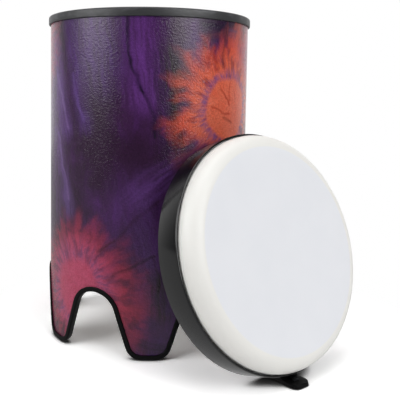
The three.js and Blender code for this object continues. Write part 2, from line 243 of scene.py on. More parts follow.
feed(fibre_tree, fibre_shader, {"Base Color": lapped.outputs[2], "Normal": fibre_bump, "Roughness": 0.8})

shell = footed_piece("fibre_shell", tube_sections(shell_inside, shell_outside), fibre)
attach(shell, "drum")
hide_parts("shell")


# The wrap: cotton printed with a tie-dye pattern, bonded round the shell and sealed with clear
# lacquer. The print comes twice round the shell: bursts where the cloth was knotted, and violet
# bands and dark lines where it was folded.
wrap_thickness = 0.8
glue_line = 0.2
wrap_radius = shell_outside + glue_line + wrap_thickness
print_repeats = 2

cloth, dye, cloth_shader = new_finish("lacquered_tie_dye_cotton")
cloth_coords = add(dye, "ShaderNodeTexCoord", {})
on_axis = add(dye, "ShaderNodeMapping", {
    "Vector": cloth_coords.outputs["Object"], "Location": -shell_axis,
})
apart = add(dye, "ShaderNodeSeparateXYZ", {0: on_axis})
forward = add(dye, "ShaderNodeMath", {0: apart.outputs["Y"], 1: -1.0}, operation="MULTIPLY")
around = add(dye, "ShaderNodeMath", {0: apart.outputs["X"], 1: forward}, operation="ARCTAN2")
height_mm = add(dye, "ShaderNodeMath", {0: apart.outputs["Z"], 1: 1 / MM}, operation="MULTIPLY")

# Dye creeps in the cloth, so that outlines wander by up to 6 mm over stretches of about 55 mm
creep = add(dye, "ShaderNodeTexNoise", {
    "Vector": on_axis, "Scale": 1 / (55 * MM), "Detail": 2.0,
})
creep_mm = add(dye, "ShaderNodeVectorMath", {
    0: creep.outputs["Color"], 1: (24, 24, 0), 2: (-12, -12, 0),
}, operation="MULTIPLY_ADD")


def way_from(arc, height):
    """The way from a point of the print, in mm along and up the cloth, with the dye's creep."""
    half_turn = pi / print_repeats
    off_turn = add(dye, "ShaderNodeMath", {0: around, 1: arc / wrap_radius}, operation="SUBTRACT")
    wrapped = add(dye, "ShaderNodeMath", {0: off_turn, 1: half_turn, 2: -half_turn}, operation="WRAP")
    across = add(dye, "ShaderNodeMath", {0: wrapped, 1: wrap_radius}, operation="MULTIPLY")
    above = add(dye, "ShaderNodeMath", {0: height_mm, 1: height}, operation="SUBTRACT")
    straight = add(dye, "ShaderNodeCombineXYZ", {"X": across, "Y": above})
    return add(dye, "ShaderNodeVectorMath", {0: straight, 1: creep_mm}, operation="ADD")


# The ground: dark purple, violet in patches of about 110 mm, with upright streaks 22 mm across
streak_coords = add(dye, "ShaderNodeMapping", {"Vector": on_axis, "Scale": (1, 1, 0.25)})
streaks = add(dye, "ShaderNodeTexNoise", {
    "Vector": streak_coords, "Scale": 1 / (22 * MM), "Detail": 5.0, "Distortion": 0.8,
})
patches = add(dye, "ShaderNodeTexNoise", {"Vector": on_axis, "Scale": 1 / (110 * MM), "Detail": 3.0})
streak_level = add(dye, "ShaderNodeMapRange", {
    "Value": streaks, 1: 0.35, 2: 0.7,
}, interpolation_type="SMOOTHSTEP")
patch_level = add(dye, "ShaderNodeMapRange", {
    "Value": patches, 1: 0.38, 2: 0.68,
}, interpolation_type="SMOOTHSTEP")
violet_level = add(dye, "ShaderNodeMath", {0: streak_level, 1: patch_level}, operation="MULTIPLY")
ground = add(dye, "ShaderNodeMix", {
    0: patch_level, 6: linear("2B132E"), 7: linear("3A1B42"),
}, data_type="RGBA")
dyed = add(dye, "ShaderNodeMix", {
    0: violet_level, 6: ground.outputs[2], 7: linear("4A2260"),
}, data_type="RGBA")


def lay_folds(colour, folds):
    """Lay fold marks on a colour: points in mm along and up, half the width, colour, strength."""
    for number, (points, half_width, fold_hex, strength) in enumerate(folds):
        off_fold = 10 * half_width
        for (from_arc, from_height), (to_arc, to_height) in zip(points, points[1:]):
            way = way_from(from_arc, from_height)
            run = Vector((to_arc - from_arc, to_height - from_height, 0))
            along = add(dye, "ShaderNodeVectorMath", {
                0: way, 1: run / run.length_squared,
            }, operation="DOT_PRODUCT")
            share = add(dye, "ShaderNodeClamp", {"Value": along.outputs["Value"]})
            nearest = add(dye, "ShaderNodeVectorMath", {0: run, "Scale": share}, operation="SCALE")
            gap = add(dye, "ShaderNodeVectorMath", {0: way, 1: nearest}, operation="DISTANCE")
            off_fold = add(dye, "ShaderNodeMath", {
                0: off_fold, 1: gap.outputs["Value"],
            }, operation="MINIMUM")
        # Strands of dye, about 6 mm wide, run along the fold
        (first_arc, first_height), (last_arc, last_height) = points[0], points[-1]
        strand_coords = add(dye, "ShaderNodeMapping", {
            "Vector": way_from(first_arc, first_height), "Location": (0, 0, 4.7 * number),
            "Rotation": (0, 0, atan2(last_height - first_height, last_arc - first_arc)),
            "Scale": (60, 6, 1),
        }, vector_type="TEXTURE")
        strands = add(dye, "ShaderNodeTexNoise", {"Vector": strand_coords, "Scale": 1.0, "Detail": 2.0})
        strand_tone = add(dye, "ShaderNodeMapRange", {"Value": strands, 1: 0.35, 2: 0.65, 3: 0.35, 4: 1.0})
        fold_cover = add(dye, "ShaderNodeMapRange", {
            "Value": off_fold, 1: 0.0, 2: half_width, 3: strength, 4: 0.0,
        }, interpolation_type="SMOOTHSTEP")
        fold_level = add(dye, "ShaderNodeMath", {0: fold_cover, 1: strand_tone}, operation="MULTIPLY")
        colour = add(dye, "ShaderNodeMix", {
            0: fold_level, 6: colour.outputs[2], 7: linear(fold_hex),
        }, data_type="RGBA")
    return colour


# Folds made before the knots were dyed: wide ones are violet bands or dark places, narrow ones
# are creases
dyed = lay_folds(dyed, (
    (((-22, 530), (-6, 395)), 48, "5C3076", 1.0),
    (((-100, 540), (-85, 440)), 75, "4C2A68", 0.9),
    (((-25, 240), (15, 110)), 65, "4A2C60", 0.75),
    (((-15, 250), (95, 328)), 34, "52306A", 1.0),
    (((-190, 470), (-150, 340)), 30, "5A3A78", 0.8),
    (((-178, 335), (-140, 215)), 22, "5C4078", 0.7),
    (((-140, 500), (-108, 350)), 26, "4E2A70", 0.7),
    (((15, 80), (-5, 0)), 55, "45245E", 0.8),
    (((30, 440), (40, 320)), 46, "20121E", 1.0),
    (((90, 505), (125, 500)), 28, "261830", 1.0),
    (((45, 300), (105, 328)), 26, "6A3040", 0.8),
    (((-177, 425), (-160, 385), (-145, 340)), 6, "7A5A98", 0.5),
    (((-175, 330), (-160, 285), (-142, 235)), 6, "74568E", 0.5),
    (((-132, 420), (-122, 385), (-110, 355)), 6, "64448C", 0.55),
    (((-39, 515), (-37, 470), (-31, 440), (-18, 410), (-4, 383), (4, 358), (6, 335)), 4.5, "180A22", 0.95),
))

# The bursts: each knot's place in mm and its disc's radius; where the disc's edge starts and ends
# and its ring ends, as shares of that radius, and the ring's strength; where the petals start to
# fade, as a share of where they end; the petals as angles in degrees with their reach in mm; and
# the colours of the disc, the petals, their blots and streaks
bursts = (
    (135, 375, 47, 0.92, 1.1, 1.4, 0.9, 0.52, (
        (0, 95), (35, 105), (62, 128), (82, 126), (97, 104), (108, 92), (118, 112), (128, 100), (139, 112),
        (149, 92), (159, 114), (164, 90), (169, 98), (178, 80), (191, 112), (206, 96), (219, 72), (240, 66),
        (270, 62), (310, 74),
    ), "CC6046", "C8492E", "8E261C", "6A3450"),
    (-125, 99, 46, 0.8, 1.2, 1.9, 0.5, 0.4, (
        (0, 122), (12, 112), (18, 120), (29, 100), (39, 110), (52, 96), (69, 110), (77, 94), (85, 112),
        (94, 96), (103, 106), (118, 92), (134, 98), (155, 92), (180, 96), (225, 108), (270, 100), (300, 108),
        (326, 134), (346, 134),
    ), "A63F5C", "982C44", "682036", "4C2242"),
    (-268, 462, 36, 0.8, 1.2, 1.9, 0.5, 0.4, (
        (0, 84), (40, 96), (75, 80), (110, 92), (150, 78), (180, 90), (220, 72), (260, 86), (310, 74),
    ), "A63F5C", "982C44", "682036", "4C2242"),
    (212, 130, 42, 0.85, 1.2, 1.6, 0.7, 0.46, (
        (0, 102), (30, 84), (58, 110), (88, 92), (120, 114), (150, 90), (180, 108), (212, 86), (245, 104),
        (280, 90), (320, 110),
    ), "C04E5C", "AE2C40", "72203A", "54244A"),
)
# A petal ends, faded out, at 1.24 times its reach. A ramp holds the reach as a share of 160 mm.
longest_reach = 160
petal_end = 1.24
for number, (
    arc, height, disc, edge_from, edge_to, ring_to, ring_strength, fade_from,
    petals, disc_hex, petal_hex, deep_hex, streak_hex,
) in enumerate(bursts):
    way = way_from(arc, height)
    distance = add(dye, "ShaderNodeVectorMath", {0: way}, operation="LENGTH").outputs["Value"]
    ray = add(dye, "ShaderNodeVectorMath", {0: way}, operation="NORMALIZE")
    ray_apart = add(dye, "ShaderNodeSeparateXYZ", {0: ray})
    bearing = add(dye, "ShaderNodeMath", {
        0: ray_apart.outputs["Y"], 1: ray_apart.outputs["X"],
    }, operation="ARCTAN2")
    full_bearing = add(dye, "ShaderNodeMath", {0: bearing, 1: 2 * pi, 2: 0.0}, operation="WRAP")
    turn_share = add(dye, "ShaderNodeMath", {0: full_bearing, 1: 2 * pi}, operation="DIVIDE")
    petal_reach = add(dye, "ShaderNodeValToRGB", {"Fac": turn_share})
    petal_reach.color_ramp.interpolation = "EASE"
    stops = petal_reach.color_ramp.elements
    stops[0].color = [petals[0][1] / longest_reach] * 3 + [1]
    stops[1].color = [petals[0][1] / longest_reach] * 3 + [1]
    for petal_angle, petal_length in petals[1:]:
        stops.new(petal_angle / 360).color = [petal_length / longest_reach] * 3 + [1]
    reach = add(dye, "ShaderNodeMath", {0: petal_reach, 1: petal_end * longest_reach}, operation="MULTIPLY")
    # Fine threads of dye along the rays, and broad wet tongues, about ten round the knot
    own_ray = add(dye, "ShaderNodeVectorMath", {0: ray, 1: (0, 0, 5.3 * number)}, operation="ADD")
    drift = add(dye, "ShaderNodeVectorMath", {0: way, 1: (0.004, 0.004, 0)}, operation="MULTIPLY")
    ray_coords = add(dye, "ShaderNodeVectorMath", {0: own_ray, 1: drift}, operation="ADD")
    threads = add(dye, "ShaderNodeTexNoise", {"Vector": ray_coords, "Scale": 14.0, "Detail": 3.0})
    wet_drift = add(dye, "ShaderNodeVectorMath", {0: way, 1: (0.01, 0.01, 0)}, operation="MULTIPLY")
    wet_coords = add(dye, "ShaderNodeVectorMath", {0: own_ray, 1: wet_drift}, operation="ADD")
    tongues = add(dye, "ShaderNodeTexNoise", {"Vector": wet_coords, "Scale": 3.4, "Detail": 2.0})
    frayed = add(dye, "ShaderNodeMapRange", {"Value": threads, 1: 0.25, 2: 0.75, 3: -2.5, 4: 2.5})
    run_off = add(dye, "ShaderNodeMapRange", {"Value": tongues, 1: 0.3, 2: 0.7, 3: -9.0, 4: 9.0})
    bled = add(dye, "ShaderNodeMath", {0: frayed, 1: run_off}, operation="ADD")
    far = add(dye, "ShaderNodeMath", {0: distance, 1: bled}, operation="ADD")
    soft_from = add(dye, "ShaderNodeMath", {0: reach, 1: fade_from}, operation="MULTIPLY")
    cover = add(dye, "ShaderNodeMapRange", {
        "Value": far, 1: soft_from, 2: reach, 3: 1.0, 4: 0.0,
    }, interpolation_type="SMOOTHSTEP")
    # Petals start in the disc's colour, deepen outwards, and are darker in blots
    outwards = add(dye, "ShaderNodeMapRange", {"Value": distance, 1: 1.15 * disc, 2: 1.9 * disc})
    petal_tone = add(dye, "ShaderNodeMix", {
        0: outwards, 6: linear(disc_hex), 7: linear(petal_hex),
    }, data_type="RGBA")
    blot_level = add(dye, "ShaderNodeMapRange", {
        "Value": tongues, 1: 0.48, 2: 0.66, 3: 0.0, 4: 0.75,
    }, interpolation_type="SMOOTHSTEP")
    blotted = add(dye, "ShaderNodeMix", {
        0: blot_level, 6: petal_tone.outputs[2], 7: linear(deep_hex),
    }, data_type="RGBA")
    # Streaks between the petals are strong beside the disc, and thin out towards the tips
    near_disc = add(dye, "ShaderNodeMapRange", {
        "Value": distance, 1: 1.1 * disc, 2: 1.8 * disc, 3: 0.8, 4: 0.12,
    })
    thread_level = add(dye, "ShaderNodeMapRange", {
        "Value": threads, 1: 0.48, 2: 0.68,
    }, interpolation_type="SMOOTHSTEP")
    streak_share = add(dye, "ShaderNodeMath", {0: near_disc, 1: thread_level}, operation="MULTIPLY")
    rays = add(dye, "ShaderNodeMix", {
        0: streak_share, 6: blotted.outputs[2], 7: linear(streak_hex),
    }, data_type="RGBA")
    # The disc is mottled in patches of about 14 mm
    mottle = add(dye, "ShaderNodeTexNoise", {"Vector": way, "Scale": 1 / 14, "Detail": 3.0})
    mottle_level = add(dye, "ShaderNodeMapRange", {"Value": mottle, 1: 0.45, 2: 0.75, 3: 0.0, 4: 0.5})
    mottled = add(dye, "ShaderNodeMix", {
        0: mottle_level, 6: linear(disc_hex), 7: linear(petal_hex),
    }, data_type="RGBA")
    outside_disc = add(dye, "ShaderNodeMapRange", {
        "Value": distance, 1: edge_from * disc, 2: edge_to * disc,
    }, interpolation_type="SMOOTHSTEP")
    burst = add(dye, "ShaderNodeMix", {
        0: outside_disc, 6: mottled.outputs[2], 7: rays.outputs[2],
    }, data_type="RGBA")
    # The binding thread leaves a ring of small purple dashes round the disc
    ring_end = add(dye, "ShaderNodeMapRange", {
        "Value": distance, 1: 1.1 * disc, 2: ring_to * disc, 3: ring_strength, 4: 0.0,
    }, interpolation_type="SMOOTHSTEP")
    ring = add(dye, "ShaderNodeMath", {0: outside_disc, 1: ring_end}, operation="MULTIPLY")
    dash = add(dye, "ShaderNodeMapRange", {"Value": threads, 1: 0.36, 2: 0.6, 3: 0.3, 4: 1.0})
    dashes = add(dye, "ShaderNodeMath", {0: ring, 1: dash}, operation="MULTIPLY")
    bound = add(dye, "ShaderNodeMix", {
        0: dashes, 6: burst.outputs[2], 7: linear("7A4470"),
    }, data_type="RGBA")
    dyed = add(dye, "ShaderNodeMix", {
        0: cover, 6: dyed.outputs[2], 7: bound.outputs[2],
    }, data_type="RGBA")

# Folds over the bursts: dark and violet places on the front foot, two creases beside the pink
# burst, dark and red places and upright creases above the orange disc, and those that meet in it
dyed = lay_folds(dyed, (
    (((16, 120), (20, 66)), 30, "241A20", 1.0),
    (((8, 50), (32, 34)), 24, "3C2048", 1.0),
    (((-10, 24), (22, 16)), 14, "1A0E20", 1.0),
    (((-80, 160), (-50, 182), (-15, 215), (10, 240)), 4.5, "2A0E22", 0.8),
    (((-52, 126), (-20, 146), (10, 162)), 4.5, "240C20", 0.7),
    (((136, 493), (150, 491)), 13, "4E3656", 0.8),
    (((84, 484), (114, 488)), 9, "662A34", 0.7),
    (((86, 446), (100, 467), (107, 437)), 8, "962A1E", 0.8),
    (((129, 497), (125, 475), (119, 438)), 5, "6C2C2E", 0.75),
    (((135, 462), (134, 427)), 4, "74343C", 0.75),
    (((143, 452), (143, 425)), 3.5, "7E4444", 0.6),
    (((115, 405), (132, 391), (136, 383)), 3, "982814", 0.95),
    (((98, 380), (117, 377), (128, 370), (138, 370)), 3, "942614", 0.95),
    (((137, 416), (136, 402), (136, 389)), 3, "A03018", 0.8),
    (((128, 364), (142, 357)), 5, "86301C", 0.7),
    (((151, 402), (152, 392)), 3, "A03018", 0.7),
))

# The lacquered weave. Its threads are 0.8 mm apart on the real cloth; here they are drawn four
# times as coarse, so that they show, with a whole number of them round the shell.
weave_pitch = 3.2
thread_count = round(2 * pi * wrap_radius / weave_pitch)
warp_wave = add(dye, "ShaderNodeMath", {0: around, 1: float(thread_count)}, operation="MULTIPLY")
warp = add(dye, "ShaderNodeMath", {0: warp_wave}, operation="SINE")
weft_wave = add(dye, "ShaderNodeMath", {0: height_mm, 1: 2 * pi / weave_pitch}, operation="MULTIPLY")
weft = add(dye, "ShaderNodeMath", {0: weft_wave}, operation="SINE")
weave = add(dye, "ShaderNodeMath", {0: warp, 1: weft}, operation="MULTIPLY")
slub = add(dye, "ShaderNodeTexNoise", {"Vector": on_axis, "Scale": 1 / (2.3 * MM), "Detail": 2.0})
slub_level = add(dye, "ShaderNodeMapRange", {"Value": slub, 1: 0.3, 2: 0.7, 3: -1.5, 4: 1.5})
woven = add(dye, "ShaderNodeMath", {0: weave, 1: 0.4, 2: slub_level}, operation="MULTIPLY_ADD")
thread_tone = add(dye, "ShaderNodeMapRange", {"Value": woven, 1: -1.5, 2: 1.5, 3: 0.8, 4: 1.2})
toned = add(dye, "ShaderNodeMix", {
    0: 1.0, 6: dyed.outputs[2], 7: thread_tone,
}, data_type="RGBA", blend_type="MULTIPLY")
weave_bump = add(dye, "ShaderNodeBump", {"Strength": 0.75, "Distance": 0.1 * MM, "Height": woven})
feed(dye, cloth_shader, {"Base Color": toned.outputs[2], "Normal": weave_bump, "Roughness": 0.2})

wrap = footed_piece(
    "tie_dye_wrap", tube_sections(wrap_radius - wrap_thickness, wrap_radius), cloth,
)
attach(wrap, "drum")
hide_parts("shell_wrap")


# The rim trim: a channel of extruded plastic, pressed over the shell's top edge. It is charcoal
# with a soft sheen, paler in patches, and its outer side stands proud as a lip.
rim_wall = 3.0
inner_wall = 2.2
rim_height = 13.0
channel_outside = wrap_radius + trim_gap
channel_inside = shell_inside - trim_gap
rim_radius = channel_outside + rim_wall
trim_inside = channel_inside - inner_wall
rim_bottom = drum_height - rim_height
rim_web_low = drum_height - trim_web


def filleted(corners, steps=5):
    """A closed outline from its corners, each with the radius that it is rounded by."""
    outline = []
    for i, (x, y, radius) in enumerate(corners):
        here = Vector((x, y))
        back = (Vector(corners[i - 1][:2]) - here).normalized()
        ahead = (Vector(corners[(i + 1) % len(corners)][:2]) - here).normalized()
        if radius == 0:
            outline.append(here)
            continue
        half = back.angle(ahead) / 2
        start = here + back * radius / tan(half)
        end = here + ahead * radius / tan(half)
        middle = here + (back + ahead).normalized() * radius / sin(half)
        for k in range(steps + 1):
            spoke = (start - middle).slerp(end - middle, k / steps).normalized()
            outline.append(middle + radius * spoke)
    return outline


def new_piece(name, points, faces, finish):
    """A piece from its points and faces, with its finish and its shading."""
    mesh = bpy.data.meshes.new(name)
    mesh.from_pydata(points, [], faces)
    mesh.materials.append(finish)
    set_shading(mesh)
    piece = bpy.data.objects.new(name, mesh)
    bpy.context.scene.collection.objects.link(piece)
    return piece


def turned(name, outline, place, finish, steps=256):
    """A ring from a closed outline, x from the axis and y along it, turned about place's Z."""
    size = len(outline)
    points = []
    for i in range(steps):
        angle = 2 * pi * i / steps
        for x, y in outline:
            points.append(place @ (Vector((x * cos(angle), x * sin(angle), y)) * MM))
    faces = []
    for i in range(steps):
        j = (i + 1) % steps
        for k in range(size):
            n = (k + 1) % size
            faces.append((i * size + k, j * size + k, j * size + n, i * size + n))
    return new_piece(name, points, faces, finish)


trim_plastic, trim_tree, trim_shader = new_finish("extruded_charcoal_plastic")
trim_coords = add(trim_tree, "ShaderNodeTexCoord", {})
# Drawing lines run round the trim, about 0.7 mm apart, over a fine matt grain of 0.5 mm
draw_coords = add(trim_tree, "ShaderNodeMapping", {
    "Vector": trim_coords.outputs["Object"], "Scale": (0.05, 0.05, 1),
})
draw_lines = add(trim_tree, "ShaderNodeTexNoise", {
    "Vector": draw_coords, "Scale": 1 / (0.7 * MM), "Detail": 3.0,
})
grain = add(trim_tree, "ShaderNodeTexNoise", {
    "Vector": trim_coords.outputs["Object"], "Scale": 1 / (0.5 * MM), "Detail": 2.0,
})
trim_tone = add(trim_tree, "ShaderNodeMix", {
    0: draw_lines, 6: linear("28292B"), 7: linear("343537"),
}, data_type="RGBA")
# It is paler in patches about 9 mm high and three times as long
rub_coords = add(trim_tree, "ShaderNodeMapping", {
    "Vector": trim_coords.outputs["Object"], "Scale": (1 / 3, 1 / 3, 1),
})
pale_patches = add(trim_tree, "ShaderNodeTexNoise", {"Vector": rub_coords, "Scale": 1 / (9 * MM), "Detail": 5.0})
pale_patch_level = add(trim_tree, "ShaderNodeMapRange", {
    "Value": pale_patches, 1: 0.46, 2: 0.68, 3: 0.0, 4: 0.65,
}, interpolation_type="SMOOTHSTEP")
patched_tone = add(trim_tree, "ShaderNodeMix", {
    0: pale_patch_level, 6: trim_tone.outputs[2], 7: linear("56575A"),
}, data_type="RGBA")
trim_gloss = add(trim_tree, "ShaderNodeMapRange", {"Value": draw_lines, 1: 0.3, 2: 0.7, 3: 0.38, 4: 0.5})
trim_bump = add(trim_tree, "ShaderNodeBump", {"Strength": 0.15, "Distance": 0.1 * MM, "Height": grain})
feed(trim_tree, trim_shader, {
    "Base Color": patched_tone.outputs[2], "Roughness": trim_gloss, "Normal": trim_bump,
})

rim_outline = filleted((
    (channel_outside, rim_bottom, 0.3), (rim_radius, rim_bottom, 1.0), (rim_radius, drum_height, 3.2),
    (trim_inside, drum_height, 1.1), (trim_inside, rim_bottom, 0.6), (channel_inside, rim_bottom, 0.3),
    (channel_inside, rim_web_low, 0), (channel_outside, rim_web_low, 0),
))
rim = turned("rim_trim_ring", rim_outline, Matrix.Translation(shell_axis), trim_plastic)
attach(rim, "drum")
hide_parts("rim_trim")


# The foot edging: one length of extruded rubber channel, pushed over the sawn lower edge all
# the way round the six feet. It is black, with a dull shine on its rounded outer corners.
edging_leg = 7.5

rubber, rubber_tree, rubber_shader = new_finish("extruded_black_rubber")
rubber_coords = add(rubber_tree, "ShaderNodeTexCoord", {})
# Bloom in cloudy patches of 25 mm, and a pitted skin of 0.9 mm
bloom = add(rubber_tree, "ShaderNodeTexNoise", {
    "Vector": rubber_coords.outputs["Object"], "Scale": 1 / (25 * MM), "Detail": 3.0,
})
pits = add(rubber_tree, "ShaderNodeTexNoise", {
    "Vector": rubber_coords.outputs["Object"], "Scale": 1 / (0.9 * MM), "Detail": 2.0,
})
rubber_tone = add(rubber_tree, "ShaderNodeMix", {
    0: bloom, 6: linear("040405"), 7: linear("0B0B0C"),
}, data_type="RGBA")
rubber_gloss = add(rubber_tree, "ShaderNodeMapRange", {"Value": bloom, 1: 0.3, 2: 0.7, 3: 0.48, 4: 0.62})
rubber_bump = add(rubber_tree, "ShaderNodeBump", {"Strength": 0.12, "Distance": 0.1 * MM, "Height": pits})
feed(rubber_tree, rubber_shader, {
    "Base Color": rubber_tone.outputs[2], "Roughness": rubber_gloss, "Normal": rubber_bump,
    "Specular IOR Level": 0.15,
})

# Its section, as the inset from its own edge, the radius and the rounding of each corner
edging_profile = filleted((
    (edging_leg, channel_outside, 0.3), (edging_leg, edging_radius, 0.9), (0, edging_radius, 2.4),
    (0, trim_inside, 2.0), (edging_leg, trim_inside, 0.9), (edging_leg, channel_inside, 0.3),
    (trim_web, channel_inside, 0), (trim_web, channel_outside, 0),
), steps=4)
edging_lines = [foot_line(radius, inset) for inset, radius in edging_profile]
edging_sections = [
    [(radius, *line[i]) for (inset, radius), line in zip(edging_profile, edging_lines)]
    for i in range(len(edging_lines[0]))
]
edging = footed_piece("foot_edging_channel", edging_sections, rubber)
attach(edging, "drum")
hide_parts("foot_edging")


# The head's hoop: a glossy black moulding with a skirt that goes over the rim trim, a shelf
# inside it, two fixed catches and a window for the lever. It leans on the shell.
skirt_play = 0.7
hoop_wall = 3.0
hoop_depth = 39.0
shelf_width = 13.0
shelf_low = 20.5
shelf_top = 27.0
skirt_inside = rim_radius + skirt_play
hoop_radius = skirt_inside + hoop_wall
shelf_inside = skirt_inside - shelf_width
head_turn = radians(36.1)
head_tilt = radians(18.2)
head_centre = Vector((76.178, -90.245, 163.395)) * MM
latch_angle = radians(-92)
head_place = (
    Matrix.Translation(head_centre)
    @ Matrix.Rotation(head_turn, 4, "Z")
    @ Matrix.Rotation(pi / 2 - head_tilt, 4, "X")
)
latch_place = head_place @ Matrix.Rotation(latch_angle, 4, "Z")

gloss_plastic, gloss_tree, gloss_shader = new_finish("moulded_gloss_black_plastic")
gloss_coords = add(gloss_tree, "ShaderNodeTexCoord", {})
# A moulding is never quite flat: slow ripples of 30 mm, and handling marks of 6 mm in its gloss
ripples = add(gloss_tree, "ShaderNodeTexNoise", {
    "Vector": gloss_coords.outputs["Object"], "Scale": 1 / (30 * MM), "Detail": 1.0,
})
marks = add(gloss_tree, "ShaderNodeTexNoise", {
    "Vector": gloss_coords.outputs["Object"], "Scale": 1 / (6 * MM), "Detail": 4.0,
})
gloss_tone = add(gloss_tree, "ShaderNodeMix", {
    0: ripples, 6: linear("0B0B0C"), 7: linear("101011"),
}, data_type="RGBA")
gloss_rough = add(gloss_tree, "ShaderNodeMapRange", {"Value": marks, 1: 0.3, 2: 0.75, 3: 0.1, 4: 0.2})
gloss_bump = add(gloss_tree, "ShaderNodeBump", {"Strength": 0.2, "Distance": 0.2 * MM, "Height": ripples})
feed(gloss_tree, gloss_shader, {
    "Base Color": gloss_tone.outputs[2], "Roughness": gloss_rough, "Normal": gloss_bump,
    "Specular IOR Level": 0.65,
})

hoop_outline = filleted((
    (skirt_inside, 0, 0.5), (hoop_radius, 0, 0.8), (hoop_radius, hoop_depth, 1.3),
    (skirt_inside, hoop_depth, 0.6), (skirt_inside, shelf_top, 0.4), (shelf_inside, shelf_top, 0.8),
    (shelf_inside, shelf_low, 0.8), (skirt_inside, shelf_low, 0.4),
))
hoop = turned("head_hoop_moulding", hoop_outline, head_place, gloss_plastic)

# The lever's window, the pin's hole and the spring's slit, each from and to a radius, its width,
# and from and to a height. The cutters go 5 mm past the hoop.
cut_past = 5.0
cut_outside = hoop_radius + cut_past
window_inside = 165.1
window_width = 34.0
window_top = 30.55
pivot_radius = 168.8
pivot_height = (shelf_low + shelf_top) / 2
pin_hole = 3.0
pin_hole_length = 42.6
spring_width = 10.0
spring_thickness = 0.8
spring_tang = 1.6
spring_low = 32.05
spring_top = spring_low + spring_thickness
spring_root = hoop_radius - spring_tang
for inside, outside, width, bottom, top in (
    (window_inside, cut_outside, window_width, -cut_past, window_top),
    (
        pivot_radius - pin_hole / 2, pivot_radius + pin_hole / 2, pin_hole_length,
        pivot_height - pin_hole / 2, pivot_height + pin_hole / 2,
    ),
    (
        spring_root - trim_gap, cut_outside, spring_width + 2 * trim_gap,
        spring_low - trim_gap, spring_top + trim_gap,
    ),
):
    middle = Vector(((inside + outside) / 2, 0, (bottom + top) / 2)) * MM
    size = Vector((outside - inside, width, top - bottom)) * MM
    tool_mesh = bpy.data.meshes.new("cutter")
    tool_shape = bmesh.new()
    block = Matrix.Translation(middle) @ Matrix.Diagonal(size).to_4x4()
    bmesh.ops.create_cube(tool_shape, size=1, matrix=latch_place @ block)
    tool_shape.to_mesh(tool_mesh)
    tool_shape.free()
    tool = bpy.data.objects.new("cutter", tool_mesh)
    bpy.context.scene.collection.objects.link(tool)
    cut = hoop.modifiers.new("cut", "BOOLEAN")
    cut.object = tool
    cut.solver = "EXACT"
    cut_hoop = hoop.evaluated_get(bpy.context.evaluated_depsgraph_get())
    hoop.data = bpy.data.meshes.new_from_object(cut_hoop)
    hoop.modifiers.clear()
    bpy.data.objects.remove(tool)

# The two fixed catches, at even thirds from the lever, bite in under the rim trim's lip. Each has a
# sloped lead, so that the skirt springs over the lip.
catch_width = 24.0
catch_steps = 8
catch_low = 1.0
catch_top = 5.0
lead_top = 3.6
catch_bite = 1.5
catch_tip = rim_radius - catch_bite
catch_root = (skirt_inside + hoop_radius) / 2
catch_outline = (
    (catch_root, catch_low), (catch_root, catch_top), (catch_tip, catch_top), (catch_tip, lead_top),
    (skirt_inside, catch_low),
)
catch_sides = len(catch_outline)
catch_half = asin(catch_width / 2 / skirt_inside)
catch_shape = bmesh.new()
catch_shape.from_mesh(hoop.data)
for third in (1, 2):
    catch_angle = latch_angle + third * 2 * pi / 3
    loops = []
    for i in range(catch_steps + 1):
        angle = catch_angle + catch_half * (2 * i / catch_steps - 1)
        loops.append([
            catch_shape.verts.new(head_place @ (Vector((r * cos(angle), r * sin(angle), u)) * MM))
            for r, u in catch_outline
        ])
    for before, after in zip(loops, loops[1:]):
        for k in range(catch_sides):
            n = (k + 1) % catch_sides
            catch_shape.faces.new((before[k], after[k], after[n], before[n]))
    catch_shape.faces.new(loops[0])
    catch_shape.faces.new(reversed(loops[-1]))
catch_shape.to_mesh(hoop.data)
catch_shape.free()
set_shading(hoop.data)
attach(hoop, "head")
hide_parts("head_hoop")


# The gasket: a flat ring of soft dark rubber, bonded under the hoop's shelf, where it seals
# on the rim trim.
gasket_width = 8.0
gasket_thickness = 1.8
gasket_outside = window_inside
gasket_inside = gasket_outside - gasket_width
gasket_top = shelf_low - glue_line
gasket_low = gasket_top - gasket_thickness

soft_rubber, soft_tree, soft_shader = new_finish("soft_grey_sponge_rubber")
soft_coords = add(soft_tree, "ShaderNodeTexCoord", {})
# Open cells of about 1.2 mm
cells = add(soft_tree, "ShaderNodeTexVoronoi", {
    "Vector": soft_coords.outputs["Object"], "Scale": 1 / (1.2 * MM),
})
cell_tone = add(soft_tree, "ShaderNodeMix", {
    0: cells.outputs["Distance"], 6: linear("38383A"), 7: linear("4A4A4C"),
}, data_type="RGBA")
cell_bump = add(soft_tree, "ShaderNodeBump", {
    "Strength": 0.5, "Distance": 0.3 * MM, "Height": cells.outputs["Distance"],
})
feed(soft_tree, soft_shader, {"Base Color": cell_tone.outputs[2], "Normal": cell_bump, "Roughness": 0.9})

gasket_outline = filleted((
    (gasket_inside, gasket_low, 0.5), (gasket_outside, gasket_low, 0.5),
    (gasket_outside, gasket_top, 0.3), (gasket_inside, gasket_top, 0.3),
))
gasket = turned("seat_gasket_ring", gasket_outline, head_place, soft_rubber)
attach(gasket, "head")
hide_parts("seat_gasket")


# The bearing ring: pressed fibre that stands on the hoop's shelf and gives the film its round
# shoulder, with a rebate for the flesh hoop. It shows only from behind.
film_groove = 1.4
collar_height = 26.2
film_thickness = 1.0
shoulder_round = 22.0
film_radius = skirt_inside - film_groove
film_top = hoop_depth + collar_height
flat_radius = film_radius - shoulder_round
shoulder_base = film_top - shoulder_round
rebate_radius = 163.7
rebate_top = 35.6
ring_lip = 1.0
ring_low = shelf_top + trim_gap
ring_round = shoulder_round - film_thickness - trim_gap
ring_top = shoulder_base + ring_round


